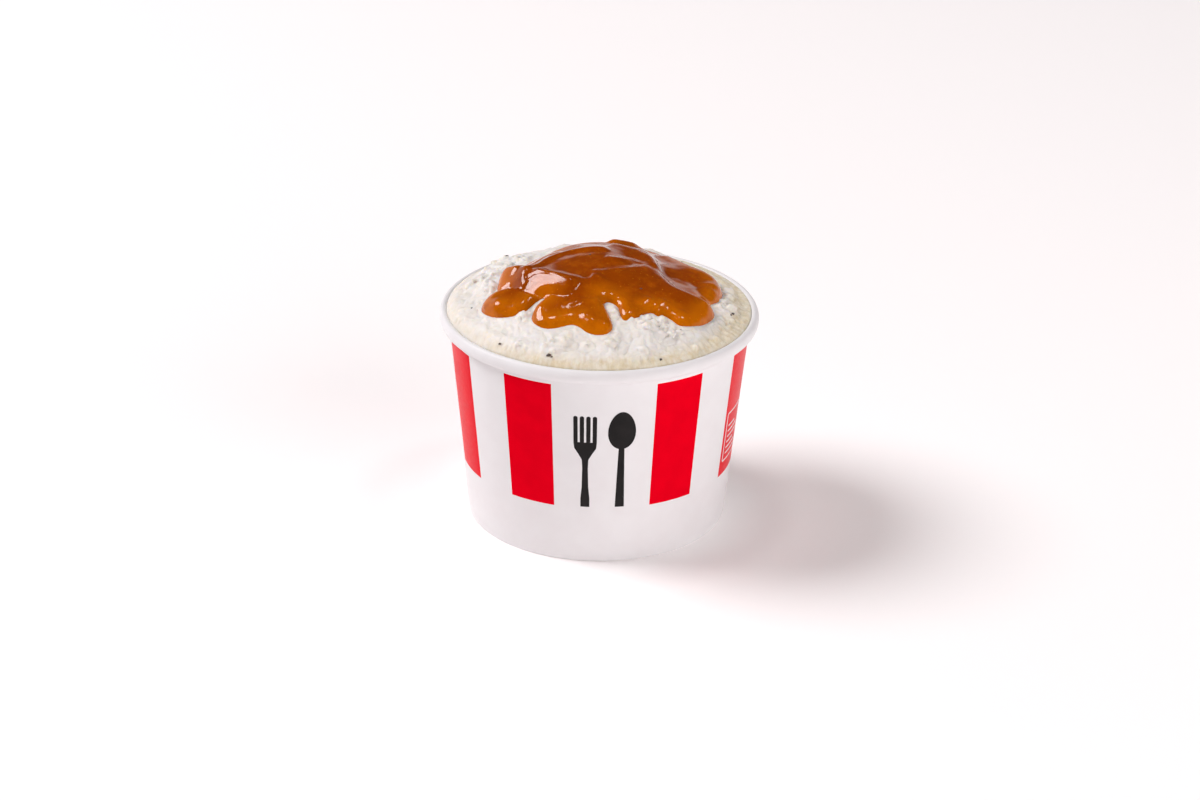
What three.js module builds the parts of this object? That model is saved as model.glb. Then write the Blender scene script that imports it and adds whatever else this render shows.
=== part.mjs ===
// A side of mashed potato with gravy, served in a round paper pot.
// Millimetres, +Z up. The origin is the centre of the pot's foot, and -Y is its front.
import * as THREE from 'three';

// ---- Driving dimensions ----

const pot = {
  rimRadius: 49,       // outside of the rolled rim
  height: 67,          // foot to the top of the rim
  rollHeight: 4.2,     // the rolled rim, from its top to its underside
  footRadius: 40,      // outside of the wall where it stands
  neckRadius: 46.5,    // outside of the wall at mid rim
  paper: 0.4,
  curlEnd: -120,       // degrees from level where the curled edge of the rim stops
  skirtHeight: 5.2,    // how far the wall's folded-in edge comes back up inside the foot
  seatHeight: 6,       // underside of the base disc above the table
  flangeFoot: 0.7,     // lower edge of the base disc's flange above the table
  segments: 56,
};

const clearance = 0.3; // between touching pieces
const foldGap = 0.2;   // between the layers of paper folded together at the foot

const mound = {
  fillRadius: 45.6,    // where the mash meets the inside of the rim
  fillHeight: 65.5,
  shoulderRise: 5,     // rounded edge just inside the rim
  shoulderWidth: 5.5,
  slumps: [            // where the shoulder has slumped, by how much of its rise, and how narrowly
    { azimuth: 105, share: 0.85, narrowness: 2 },
    { azimuth: -132, share: 0.6, narrowness: 7 },
  ],
  slumpReach: 20,      // the slumps fade out this close to the middle
  domeRise: 11,
  domeRadius: 43.3,
  domeCentre: [1, 1.4],
  segments: 64,
};

// Lumps and hollows of the mash: place, height and spread.
const lumps = [
  { name: 'rear crag', at: [-27, 24], height: 2, spread: 6 },
  { name: 'left crag', at: [-33, 8], height: 1.2, spread: 6 },
  { name: 'right hollow', at: [22, 20], height: -2.1, spread: 12 },
  { name: 'front flake', at: [12, -32], height: 1, spread: 5 },
  { name: 'front right flake', at: [26, -28], height: 0.8, spread: 5 },
  { name: 'front left swell', at: [-22, -32], height: 0.6, spread: 7 },
];

const gravyPool = {
  radius: 29,          // the pool between its tongues
  thickness: 2.4,
  gap: 0.5,            // between it and the mash under it
  edgeWidth: 3.2,      // distance over which its rounded edge rises
  segments: 84,
};

// Tongues (positive reach) and bays (negative reach) of the gravy, each at an azimuth in degrees
// from the front towards +X, with half its width in degrees.
const tongues = [
  { name: 'front tip', azimuth: -4, reach: 6.5, half: 7 },
  { name: 'front dip', azimuth: -15, reach: 3.5, half: 5.5 },
  { name: 'front left lobe', azimuth: -31, reach: 6, half: 11 },
  { name: 'left gap', azimuth: -45.5, reach: -4, half: 3 },
  { name: 'left finger', azimuth: -66, reach: 8.5, half: 17 },
  { name: 'left flank', azimuth: -100, reach: 2, half: 13 },
  { name: 'rear left bay', azimuth: -134, reach: -3.5, half: 15 },
  { name: 'right lobe', azimuth: 86, reach: 8.5, half: 27 },
  { name: 'front right lobe', azimuth: 50, reach: 9.5, half: 11 },
  { name: 'front step', azimuth: 36, reach: 3.5, half: 5.5 },
  { name: 'front bay', azimuth: 8, reach: -7, half: 4 },
];

// Folds where the gravy has run over itself: a ridge between two places, with its height and spread.
const folds = [
  { name: 'left fold', from: [-24, -2], to: [-13, 14], height: 1.2, spread: 3.5 },
  { name: 'middle fold', from: [-18, -1], to: [14, 2], height: 0.8, spread: 3 },
  { name: 'right fold', from: [18, 2], to: [30, -22], height: 1.3, spread: 3.5 },
  { name: 'left finger', from: [-33, -10], to: [-22, -14], height: 1.3, spread: 4 },
];

// ---- Shapes ----

const radians = THREE.MathUtils.degToRad;

// Turns a profile of [radius, height] points about the Z axis; azimuth 0 is the front, -Y.
function turned(profile, segments) {
  const points = profile.map(([radius, height]) => new THREE.Vector2(radius, height));
  return new THREE.LatheGeometry(points, segments).rotateX(Math.PI / 2);
}

// Moves every vertex of a geometry to the place that a function gives for it.
function reshaped(geometry, place) {
  const position = geometry.attributes.position;
  for (let i = 0; i < position.count; i += 1) {
    position.setXYZ(i, ...place(position.getX(i), position.getY(i), position.getZ(i)));
  }
  geometry.computeVertexNormals();
  return geometry;
}

function named(name, geometry, look) {
  const mesh = new THREE.Mesh(geometry, new THREE.MeshStandardMaterial(look));
  mesh.name = name;
  return mesh;
}

// ---- Pot ----

const rollMiddle = pot.height - pot.rollHeight / 2;
const wallSlope = (pot.neckRadius - pot.footRadius) / rollMiddle;

// Radius, at a height, of the cone that lies `depth` inside the wall's outer face.
function coneRadius(height, depth = 0) {
  return pot.footRadius - depth + wallSlope * height;
}

function conePoint(height, depth) {
  return [coneRadius(height, depth), height];
}

// Points along the rolled rim, `depth` inside its outer face, between two angles above level.
function rollPoints(depth, fromDegrees, toDegrees, steps) {
  const innerRadius = coneRadius(rollMiddle, pot.paper);
  const centre = (pot.rimRadius + innerRadius) / 2;
  const halfWidth = (pot.rimRadius - innerRadius) / 2 - depth;
  const halfHeight = pot.rollHeight / 2 - depth;
  const points = [];
  for (let i = 0; i <= steps; i += 1) {
    const angle = radians(THREE.MathUtils.lerp(fromDegrees, toDegrees, i / steps));
    points.push([centre + halfWidth * Math.cos(angle), rollMiddle + halfHeight * Math.sin(angle)]);
  }
  return points;
}

// One strip of paper: up the outside, round the curled rim, down the inside, and folded in and up
// again at the foot as the skirt that holds the base disc's flange.
function cupWallGeometry() {
  const flangePocket = pot.paper + 2 * foldGap;
  const skirtDepth = pot.paper + flangePocket;
  const profile = [
    conePoint(0, 0),
    conePoint(pot.seatHeight, 0),
    ...rollPoints(pot.paper, 180, pot.curlEnd, 10),
    ...rollPoints(0, pot.curlEnd, 180, 10),
    conePoint(pot.seatHeight, pot.paper),
    conePoint(pot.paper, pot.paper),
    conePoint(pot.paper, skirtDepth),
    conePoint(pot.skirtHeight, skirtDepth),
    conePoint(pot.skirtHeight, skirtDepth + pot.paper),
    conePoint(0, skirtDepth + pot.paper),
    conePoint(0, 0),
  ];
  return turned(profile, pot.segments);
}

// The base: a disc above the table, with its edge turned down into the fold of the wall.
function cupBaseGeometry() {
  const outerDepth = pot.paper + foldGap;
  const innerDepth = outerDepth + pot.paper;
  const discTop = pot.seatHeight + pot.paper;
  const profile = [
    [0, pot.seatHeight],
    conePoint(pot.seatHeight, innerDepth),
    conePoint(pot.flangeFoot, innerDepth),
    conePoint(pot.flangeFoot, outerDepth),
    conePoint(discTop, outerDepth),
    [0, discTop],
  ];
  return turned(profile, pot.segments);
}

// ---- Mash ----

function roundedEdge(inset, width) {
  const share = THREE.MathUtils.clamp(inset / width, 0, 1);
  return Math.sqrt(1 - (1 - share) ** 2);
}

function bump(distance, spread) {
  return Math.exp(-((distance / spread) ** 2));
}

// Height of the mash's top surface.
function mashTop(x, y) {
  const radius = Math.hypot(x, y);
  const outwards = THREE.MathUtils.smoothstep(radius, 0, mound.slumpReach);
  let slumped = 0;
  for (const slump of mound.slumps) {
    const turn = Math.atan2(x, -y) - radians(slump.azimuth);
    slumped += slump.share * outwards * ((1 + Math.cos(turn)) / 2) ** slump.narrowness;
  }
  const inset = mound.fillRadius - radius;
  const shoulder = mound.shoulderRise * (1 - slumped) * roundedEdge(inset, mound.shoulderWidth);
  const fromCentre = Math.hypot(x - mound.domeCentre[0], y - mound.domeCentre[1]);
  const dome = mound.domeRise * Math.max(0, 1 - (fromCentre / mound.domeRadius) ** 2);
  let height = mound.fillHeight + shoulder + dome * roundedEdge(inset, mound.shoulderWidth);
  for (const lump of lumps) {
    height += lump.height * bump(Math.hypot(x - lump.at[0], y - lump.at[1]), lump.spread);
  }
  return radius < mound.fillRadius - clearance ? height : mound.fillHeight;
}

function mashGeometry() {
  const floor = pot.seatHeight + pot.paper + clearance;
  const sideDepth = pot.paper + clearance;
  const ringStep = 3.2;
  const shoulderStart = mound.fillRadius - mound.shoulderWidth;
  const profile = [
    [0, floor],
    conePoint(floor, sideDepth),
    conePoint((floor + mound.fillHeight) / 2, sideDepth),
    [mound.fillRadius, mound.fillHeight],
  ];
  for (const share of [0.06, 0.22, 0.45, 0.7]) {
    profile.push([mound.fillRadius - share * mound.shoulderWidth, pot.height]);
  }
  for (let radius = shoulderStart; radius > ringStep / 2; radius -= ringStep) {
    profile.push([radius, pot.height]);
  }
  profile.push([0, pot.height]);
  return reshaped(turned(profile, mound.segments), (x, y, z) => {
    return [x, y, z > mound.fillHeight ? mashTop(x, y) : z];
  });
}

// ---- Gravy ----

function turnBetween(azimuth, other) {
  return THREE.MathUtils.euclideanModulo(azimuth - other + 180, 360) - 180;
}

// Radius of the gravy's outline: flat-ended tongues and bays round a pool.
function gravyReach(azimuth) {
  let reach = gravyPool.radius;
  for (const tongue of tongues) {
    const turn = turnBetween(azimuth, tongue.azimuth) / tongue.half;
    reach += tongue.reach * Math.exp(-(turn ** 4));
  }
  return reach;
}

function foldHeight(x, y) {
  const here = new THREE.Vector3(x, y, 0);
  const nearest = new THREE.Vector3();
  let height = 0;
  for (const fold of folds) {
    const line = new THREE.Line3(new THREE.Vector3(...fold.from, 0), new THREE.Vector3(...fold.to, 0));
    line.closestPointToPoint(here, true, nearest);
    height += fold.height * bump(nearest.distanceTo(here), fold.spread);
  }
  return height;
}

function gravyGeometry() {
  const underside = [0, 0.16, 0.32, 0.47, 0.61, 0.74, 0.86, 0.94];
  const upperSide = [0.98, 0.93, 0.85, 0.7, 0.52, 0.34, 0.17, 0];
  const profile = [
    ...underside.map((share) => [share, -1]),
    [1, 0],
    ...upperSide.map((share) => [share, 1]),
  ];
  return reshaped(turned(profile, gravyPool.segments), (unitX, unitY, side) => {
    const azimuth = THREE.MathUtils.radToDeg(Math.atan2(unitX, -unitY));
    const reach = gravyReach(azimuth);
    const x = unitX * reach;
    const y = unitY * reach;
    const inset = reach - Math.hypot(x, y);
    const swell = roundedEdge(inset, gravyPool.edgeWidth);
    const rise = side > 0 ? (gravyPool.thickness + foldHeight(x, y)) * swell : 0;
    return [x, y, mashTop(x, y) + gravyPool.gap + rise];
  });
}

// ---- The part ----

const paperLook = { color: 0xf4f1f0, roughness: 0.45, metalness: 0 };
const mashLook = { color: 0xeee3cf, roughness: 0.75, metalness: 0 };
const gravyLook = { color: 0xa8540c, roughness: 0.15, metalness: 0 };

const mashPotatoSide = new THREE.Group();
mashPotatoSide.add(
  named('cup_wall', cupWallGeometry(), paperLook),
  named('cup_base', cupBaseGeometry(), paperLook),
  named('mash', mashGeometry(), mashLook),
  named('gravy', gravyGeometry(), gravyLook),
);

export default mashPotatoSide;
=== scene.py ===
import math
import random
import bpy
from mathutils import Euler, Matrix, Vector, kdtree, noise
from mathutils.bvhtree import BVHTree


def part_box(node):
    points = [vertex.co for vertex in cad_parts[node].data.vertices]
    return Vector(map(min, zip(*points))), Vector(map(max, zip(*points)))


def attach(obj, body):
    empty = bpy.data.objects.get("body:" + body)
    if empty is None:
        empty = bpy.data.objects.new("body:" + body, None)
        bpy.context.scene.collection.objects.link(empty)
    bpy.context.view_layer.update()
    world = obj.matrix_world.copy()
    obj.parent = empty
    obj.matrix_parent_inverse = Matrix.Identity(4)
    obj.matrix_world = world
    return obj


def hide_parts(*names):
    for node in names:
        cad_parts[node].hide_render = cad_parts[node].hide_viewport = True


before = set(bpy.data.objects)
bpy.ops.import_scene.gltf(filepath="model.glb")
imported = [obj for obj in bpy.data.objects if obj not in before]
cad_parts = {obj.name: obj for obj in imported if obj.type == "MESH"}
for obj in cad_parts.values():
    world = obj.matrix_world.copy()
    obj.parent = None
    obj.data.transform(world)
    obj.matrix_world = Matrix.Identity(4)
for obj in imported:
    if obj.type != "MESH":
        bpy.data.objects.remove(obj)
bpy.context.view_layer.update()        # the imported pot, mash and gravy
mm = 0.001
random.seed(11)
print("frame loaded:", ", ".join(sorted(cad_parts)))


# working habits: one object at a time, everything else deselected

def deselectAll():
    if bpy.context.mode != "OBJECT":
        bpy.ops.object.mode_set(mode="OBJECT")
    bpy.ops.object.select_all(action="DESELECT")


def pick(piece):
    deselectAll()
    piece.select_set(True)
    bpy.context.view_layer.objects.active = piece


def added(name):
    piece = bpy.context.active_object
    piece.name = name
    piece.data.name = name
    return piece


def editAll(piece):
    pick(piece)
    bpy.ops.object.mode_set(mode="EDIT")
    bpy.ops.mesh.select_all(action="SELECT")


def selectVertices(piece, wanted):
    # picks the wanted vertices, then goes back into edit mode with just those picked
    bpy.ops.mesh.select_all(action="DESELECT")
    bpy.ops.object.mode_set(mode="OBJECT")
    for vertex in piece.data.vertices:
        vertex.select = wanted(vertex)
    bpy.ops.object.mode_set(mode="EDIT")


def selectBoundary():
    bpy.ops.mesh.select_mode(type="EDGE")
    bpy.ops.mesh.select_all(action="DESELECT")
    bpy.ops.mesh.select_non_manifold(extend=False, use_wire=False, use_multi_face=False,
                                     use_non_contiguous=False, use_verts=False)


def cleanShell(piece):
    editAll(piece)
    bpy.ops.mesh.remove_doubles(threshold=0.001 * mm)
    bpy.ops.mesh.normals_make_consistent(inside=False)
    bpy.ops.object.mode_set(mode="OBJECT")


def applyPlace(piece):
    pick(piece)
    bpy.ops.object.transform_apply(location=True, rotation=True, scale=True)


def applyAll(piece):
    pick(piece)
    for modifier in list(piece.modifiers):
        bpy.ops.object.modifier_apply(modifier=modifier.name)


def smoothShade(piece, crispOver=None):
    # edges that turn by more than this many degrees stay crisp
    pick(piece)
    if crispOver is None:
        bpy.ops.object.shade_smooth()
    else:
        bpy.ops.object.shade_smooth_by_angle(angle=math.radians(crispOver))


def setPlaces(piece, places):
    piece.data.vertices.foreach_set("co", [value for place in places for value in place])
    piece.data.update()


def standsFor(piece, slotName=None, *nodes):
    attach(piece, "root")
    if nodes:
        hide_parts(*nodes)


def clamp(value):
    return max(0.0, min(1.0, value))


def smoothStep(value):
    value = clamp(value)
    return value * value * (3 - 2 * value)


# where things stand, read from the frame

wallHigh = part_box("cup_wall")[1]
baseLow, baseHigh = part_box("cup_base")
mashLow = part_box("mash")[0]
boardThickness = 0.4

pot = {
    "rimRadius": wallHigh.x / mm,
    "height": wallHigh.z / mm,
    "rollHeight": 4.2,
    "footRadius": 40.0,
    "neckRadius": 46.5,
    "paper": boardThickness,
    "curlEnd": -120,          # degrees from level where the rim's curled edge stops
    "rollSteps": (24, 30),    # round the inside and the outside of the rim's roll
    "skirtHeight": 5.2,
    "flangeFoot": baseLow.z / mm,
    "seatHeight": baseHigh.z / mm - boardThickness,
    "foldGap": 0.2,
    "columns": 360,           # one column for each degree, so the bars' edges fall on edges
    "rowsBelowBars": (0.5, 3.0, 8.0, 13.5),
    "rowsOnBars": (26, 33, 40, 47, 54),
    "rowsAboveBars": (62.2, 63.6),
    "innerRows": (62, 50, 35, 20, 8),
    "footRound": ((0.3, 0.0), (0.08, 0.12)),       # how far in and how high, for the fold's round
    "skirtRound": 0.25,
    "crispOver": 50,
    "wave": 0.1,              # how far the board strays from a true cone
    "waveTurns": 1.3,         # more makes its waves narrower round the pot
    "waveHeight": 40,
    "seamAzimuth": 180,
    "seamStep": 0.3,
    "seamRun": 14,            # degrees over which the overlap fades back into the round
    "seamLow": 0.3,
    "seamShort": 0.5,         # the step stops this far below the middle of the rim's roll
}
rollMiddle = pot["height"] - pot["rollHeight"] / 2
wallSlope = (pot["neckRadius"] - pot["footRadius"]) / rollMiddle

bars = {
    "low": 19.0,
    "high": 60.9,
    "centres": (-150, -110, -70, -30, 30, 70, 110, 150),
    "halfWidth": 10,
}


def coneRadius(height, depth=0.0):
    return pot["footRadius"] - depth + wallSlope * height


def azimuthOf(x, y):
    return math.degrees(math.atan2(x, -y))


def turnBetween(azimuth, other):
    return (azimuth - other + 180) % 360 - 180


def wallWave(azimuth, height):
    # slow unevenness of the rolled board, none at the foot and the rim
    angle = math.radians(azimuth)
    turns, up = pot["waveTurns"], height / pot["waveHeight"]
    place = Vector((turns * math.cos(angle), turns * math.sin(angle), up))
    hold = math.sin(math.pi * clamp(height / rollMiddle))
    return pot["wave"] * hold * noise.noise(place)


def seamLift(azimuth):
    # the outer end of the board overlaps the inner one and stands proud of it
    past = (azimuth - pot["seamAzimuth"]) % 360
    return pot["seamStep"] * (1 - smoothStep(past / pot["seamRun"])) if past > 0 else 0.0


# materials

def newMaterial(name):
    material = bpy.data.materials.new(name)
    material.use_nodes = True
    nodes = material.node_tree.nodes
    nodes.clear()
    output = nodes.new("ShaderNodeOutputMaterial")
    shader = nodes.new("ShaderNodeBsdfPrincipled")
    material.node_tree.links.new(shader.outputs["BSDF"], output.inputs["Surface"])
    return material, shader


def addNode(material, kind, **settings):
    node = material.node_tree.nodes.new(kind)
    for name, value in settings.items():
        setattr(node, name, value)
    return node


def connect(material, source, target):
    material.node_tree.links.new(source, target)


def objectPlace(material):
    return addNode(material, "ShaderNodeTexCoord").outputs["Object"]


def noiseOn(material, place, scale, detail=2.0, roughness=0.5):
    texture = addNode(material, "ShaderNodeTexNoise")
    texture.inputs["Scale"].default_value = scale
    texture.inputs["Detail"].default_value = detail
    texture.inputs["Roughness"].default_value = roughness
    connect(material, place, texture.inputs["Vector"])
    return texture.outputs["Fac"]


def remap(material, value, fromLow, fromHigh, toLow=0.0, toHigh=1.0):
    node = addNode(material, "ShaderNodeMapRange")
    node.inputs["From Min"].default_value = fromLow
    node.inputs["From Max"].default_value = fromHigh
    node.inputs["To Min"].default_value = toLow
    node.inputs["To Max"].default_value = toHigh
    connect(material, value, node.inputs["Value"])
    return node.outputs["Result"]


def mixColours(material, share, first, second):
    node = addNode(material, "ShaderNodeMix", data_type="RGBA")
    for socket, value in ((node.inputs[6], first), (node.inputs[7], second)):
        if isinstance(value, tuple):
            socket.default_value = (*value, 1.0)
        else:
            connect(material, value, socket)
    connect(material, share, node.inputs[0])
    return node.outputs[2]


def math2(material, operation, first, second):
    node = addNode(material, "ShaderNodeMath", operation=operation)
    for socket, value in zip(node.inputs, (first, second)):
        if isinstance(value, (int, float)):
            socket.default_value = value
        else:
            connect(material, value, socket)
    return node.outputs[0]


def bumpFrom(material, shader, height, strength, distance):
    node = addNode(material, "ShaderNodeBump")
    node.inputs["Strength"].default_value = strength
    node.inputs["Distance"].default_value = distance
    connect(material, height, node.inputs["Height"])
    connect(material, node.outputs["Normal"], shader.inputs["Normal"])


def printedBoard(name, light, shade, roughness, gloss):
    # coated board: faint mottle in the colour, fibre and press marks in the bump
    material, shader = newMaterial(name)
    place = objectPlace(material)
    mottle = noiseOn(material, place, 160, 3.0)
    colour = mixColours(material, remap(material, mottle, 0.35, 0.65), light, shade)
    connect(material, colour, shader.inputs["Base Color"])
    grain = noiseOn(material, place, 900, 4.0, 0.6)
    slow = noiseOn(material, place, 110, 2.0)
    height = math2(material, "ADD", grain, math2(material, "MULTIPLY", slow, 1.5))
    bumpFrom(material, shader, height, 0.2, 0.05 * mm)
    rough = remap(material, grain, 0.3, 0.7, roughness - 0.05, roughness + 0.07)
    connect(material, rough, shader.inputs["Roughness"])
    # the coating shines where the wall turns away
    facing = addNode(material, "ShaderNodeLayerWeight").outputs["Facing"]
    sheen = remap(material, facing, 0.55, 0.95, gloss, 0.4)
    connect(material, sheen, shader.inputs["Specular IOR Level"])
    return material


boardWhite = printedBoard("boardWhite", (0.80, 0.79, 0.80), (0.785, 0.77, 0.78), 0.42, 0.25)
printRed = printedBoard("printRed", (0.79, 0.0005, 0.012), (0.74, 0.0004, 0.011), 0.42, 0.0)
printBlack = printedBoard("printBlack", (0.012, 0.011, 0.011), (0.018, 0.016, 0.016), 0.42, 0.1)
boardRaw = printedBoard("boardRaw", (0.79, 0.77, 0.74), (0.76, 0.74, 0.70), 0.6, 0.2)


# pot wall: the section is drawn from a ring of points, then spun about the pot's axis

def rollPoints(depth, fromDegrees, toDegrees, steps):
    innerRadius = coneRadius(rollMiddle, pot["paper"])
    centre = (pot["rimRadius"] + innerRadius) / 2
    halfWidth = (pot["rimRadius"] - innerRadius) / 2 - depth
    halfHeight = pot["rollHeight"] / 2 - depth
    points = []
    for step in range(steps + 1):
        angle = math.radians(fromDegrees + (toDegrees - fromDegrees) * step / steps)
        points.append((centre + halfWidth * math.cos(angle), rollMiddle + halfHeight * math.sin(angle)))
    return points


def spunSection(name, profile, columns):
    bpy.ops.mesh.primitive_circle_add(vertices=len(profile), radius=10 * mm)
    piece = added(name)
    setPlaces(piece, [(radius * mm, 0, height * mm) for radius, height in profile])
    editAll(piece)
    bpy.ops.mesh.spin(steps=columns, angle=math.tau, center=(0, 0, 0), axis=(0, 0, 1))
    bpy.ops.object.mode_set(mode="OBJECT")
    cleanShell(piece)
    return piece


def makeCupWall():
    paper = pot["paper"]
    skirtTop = pot["skirtHeight"]
    skirtDepth = 3 * paper + 2 * pot["foldGap"]
    outerRows = [*pot["rowsBelowBars"], bars["low"], *pot["rowsOnBars"], bars["high"], *pot["rowsAboveBars"]]
    profile = [(coneRadius(0) - inward, height) for inward, height in pot["footRound"]]
    profile += [(coneRadius(height), height) for height in outerRows]
    profile += rollPoints(paper, 180, pot["curlEnd"], pot["rollSteps"][0])
    profile += rollPoints(0, pot["curlEnd"], 180, pot["rollSteps"][1])
    profile += [(coneRadius(height, paper), height) for height in (*pot["innerRows"], paper)]
    profile += [
        (coneRadius(paper, skirtDepth - paper), paper),
        (coneRadius(skirtTop, skirtDepth - paper), skirtTop),
        (coneRadius(skirtTop, skirtDepth), skirtTop),
        (coneRadius(paper, skirtDepth), paper),
        (coneRadius(0, skirtDepth) + pot["skirtRound"], 0.0),
    ]
    cup = spunSection("cupWall", profile, pot["columns"])
    places = []
    for vertex in cup.data.vertices:
        x, y, height = vertex.co / mm
        azimuth = azimuthOf(x, y)
        radius = math.hypot(x, y)
        lift = wallWave(azimuth, height)
        onSkin = abs(radius - coneRadius(height)) < pot["paper"] / 4
        if onSkin and pot["seamLow"] < height < rollMiddle - pot["seamShort"]:
            lift += seamLift(azimuth)
        scale = (radius + lift) / radius
        places.append((x * scale * mm, y * scale * mm, height * mm))
    setPlaces(cup, places)
    cup.data.materials.append(boardWhite)
    cup.data.materials.append(printRed)
    for face in cup.data.polygons:
        x, y, height = face.center / mm
        azimuth = azimuthOf(x, y)
        onOutside = math.hypot(x, y) > coneRadius(height, pot["paper"] / 2)
        onBar = any(abs(turnBetween(azimuth, centre)) < bars["halfWidth"] for centre in bars["centres"])
        if onOutside and onBar and bars["low"] < height < bars["high"]:
            face.material_index = 1
    smoothShade(cup, pot["crispOver"])
    standsFor(cup, "pot_paper", "cup_wall")


makeCupWall()
print("pot wall spun, with its bars")


baseDisc = {
    "dish": 0.35,                                        # its middle is pressed up this much
    "rings": ((0.05, 1), (14, 1), (26, 0.6), (36, 0)),   # radius, share of the dish
    "underRound": 0.5,
    "edgeRound": (0.35, 0.2),
    "columns": 180,
}


def makeCupBase():
    outerDepth = pot["paper"] + pot["foldGap"]
    innerDepth = outerDepth + pot["paper"]
    seat, top = pot["seatHeight"], pot["seatHeight"] + pot["paper"]
    foot = pot["flangeFoot"]
    dish, hole = baseDisc["dish"], baseDisc["rings"][0][0]
    under, (edgeIn, edgeDown) = baseDisc["underRound"], baseDisc["edgeRound"]
    # the disc's edge ring turns down with a small round
    profile = [(radius, seat + dish * share) for radius, share in baseDisc["rings"]]
    profile += [(coneRadius(seat, innerDepth) - under, seat), (coneRadius(seat, innerDepth), seat - under)]
    profile += [(coneRadius(foot, innerDepth), foot), (coneRadius(foot, outerDepth), foot)]
    profile += [(coneRadius(seat, outerDepth), seat - edgeDown), (coneRadius(seat, outerDepth) - edgeIn, top)]
    profile += [(radius, top + dish * share) for radius, share in reversed(baseDisc["rings"])]
    base = spunSection("cupBase", profile, baseDisc["columns"])
    # the pinhole left on the axis by the spin is closed by welding its rings
    editAll(base)
    for height in (seat + dish, top + dish):
        selectVertices(base, lambda vertex: math.hypot(vertex.co.x, vertex.co.y) < 2 * hole * mm
                       and abs(vertex.co.z - height * mm) < 2 * hole * mm)
        bpy.ops.mesh.merge(type="CENTER")
    bpy.ops.object.mode_set(mode="OBJECT")
    cleanShell(base)
    base.data.materials.append(boardRaw)
    smoothShade(base, pot["crispOver"])
    standsFor(base, "pot_base_paper", "cup_base")


makeCupBase()
print("base disc made")


# print on the wall: flat shapes drawn round the origin, then wrapped on the cone

emblem = {
    "centre": 36.0,           # height of its middle
    "azimuth": 0,
    "spread": 5.4,            # half the distance between the fork and the spoon
    "length": 33.0,
    "inkLift": 0.035,
    "inkDepth": 0.03,
    "cuts": 1.2,              # upright cuts this far apart let the print bend round the wall
    "forkFoot": (2.8, 3.0),   # width and height of the fork's foot, then each rise and widening above it
    "forkSteps": ((4.0, 0.72), (6.5, 0.85), (3.0, 1.15), (2.2, 2.2), (1.8, 1.5), (2.0, 1.06)),
    "tines": 4,
    "tineShare": 5.5,         # the fork's head is this many tines wide
    "tineLength": 9.2,
    "tineRound": 0.48,
    "overlap": 0.2,
    "bowl": (4.1, 6.4),       # half width and half height of the spoon's bowl
    "bowlNarrowing": 0.1,
    "neckOverlap": 0.5,
    "handleWidth": 1.7,
    "handleWidening": 1.7,
}

sidePanel = {
    "azimuth": 70,
    "centre": 32.0,
    "width": 12.0,
    "height": 17.0,
    "line": 0.45,
    "corner": 0.9,
    "dashes": (5.6, 8.4, 8.4, 5.6, 8.4, 8.4),
    "dashTop": 3.6,
    "dashPitch": 1.9,
    "dashHeight": 0.5,
}


def wrapOnWall(piece, azimuth, centre):
    # x on the flat shape runs round the wall, y runs up it, z stands off it
    places = []
    for vertex in piece.data.vertices:
        across, up, off = vertex.co / mm
        height = centre + up
        turn = azimuth + math.degrees(across / coneRadius(centre))
        radius = coneRadius(height) + wallWave(turn, height) + off
        angle = math.radians(turn)
        places.append((radius * math.sin(angle) * mm, -radius * math.cos(angle) * mm, height * mm))
    setPlaces(piece, places)


def sliceUpright(piece):
    editAll(piece)
    step = emblem["cuts"]
    reach = max(abs(vertex.co.x) for vertex in piece.data.vertices) / mm
    count = int(reach / step) + 1
    for index in range(-count, count + 1):
        bpy.ops.mesh.select_all(action="SELECT")
        bpy.ops.mesh.bisect(plane_co=(index * step * mm, 0, 0), plane_no=(1, 0, 0))
    bpy.ops.object.mode_set(mode="OBJECT")


def printOnWall(piece, ink, azimuth, centre):
    sliceUpright(piece)
    thick = piece.modifiers.new("ink", "SOLIDIFY")
    thick.thickness = (emblem["inkLift"] + emblem["inkDepth"]) * mm
    thick.offset = 1
    applyAll(piece)
    cleanShell(piece)
    setPlaces(piece, [vertex.co - Vector((0, 0, emblem["inkDepth"] * mm)) for vertex in piece.data.vertices])
    wrapOnWall(piece, azimuth, centre)
    cleanShell(piece)
    piece.data.materials.append(ink)
    standsFor(piece, "pot_paper")


def addPlane(name, centreX, centreY, width, height):
    bpy.ops.mesh.primitive_plane_add(size=1, location=(centreX * mm, centreY * mm, 0))
    piece = added(name)
    piece.scale = (width * mm, height * mm, 1)
    applyPlace(piece)
    return piece


def joinInto(first, others):
    deselectAll()
    for other in others:
        other.select_set(True)
    first.select_set(True)
    bpy.context.view_layer.objects.active = first
    bpy.ops.object.join()


def growTop(piece, rise, factor):
    # extrudes the topmost edge of a flat shape and widens or narrows it
    highest = max(vertex.co.y for vertex in piece.data.vertices)
    bpy.ops.object.mode_set(mode="EDIT")
    selectVertices(piece, lambda vertex: vertex.co.y > highest - 0.01 * mm)
    bpy.ops.mesh.extrude_region_move(TRANSFORM_OT_translate={"value": (0, rise * mm, 0)})
    bpy.ops.transform.resize(value=(factor, 1, 1), center_override=(0, 0, 0))
    bpy.ops.object.mode_set(mode="OBJECT")


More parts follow.
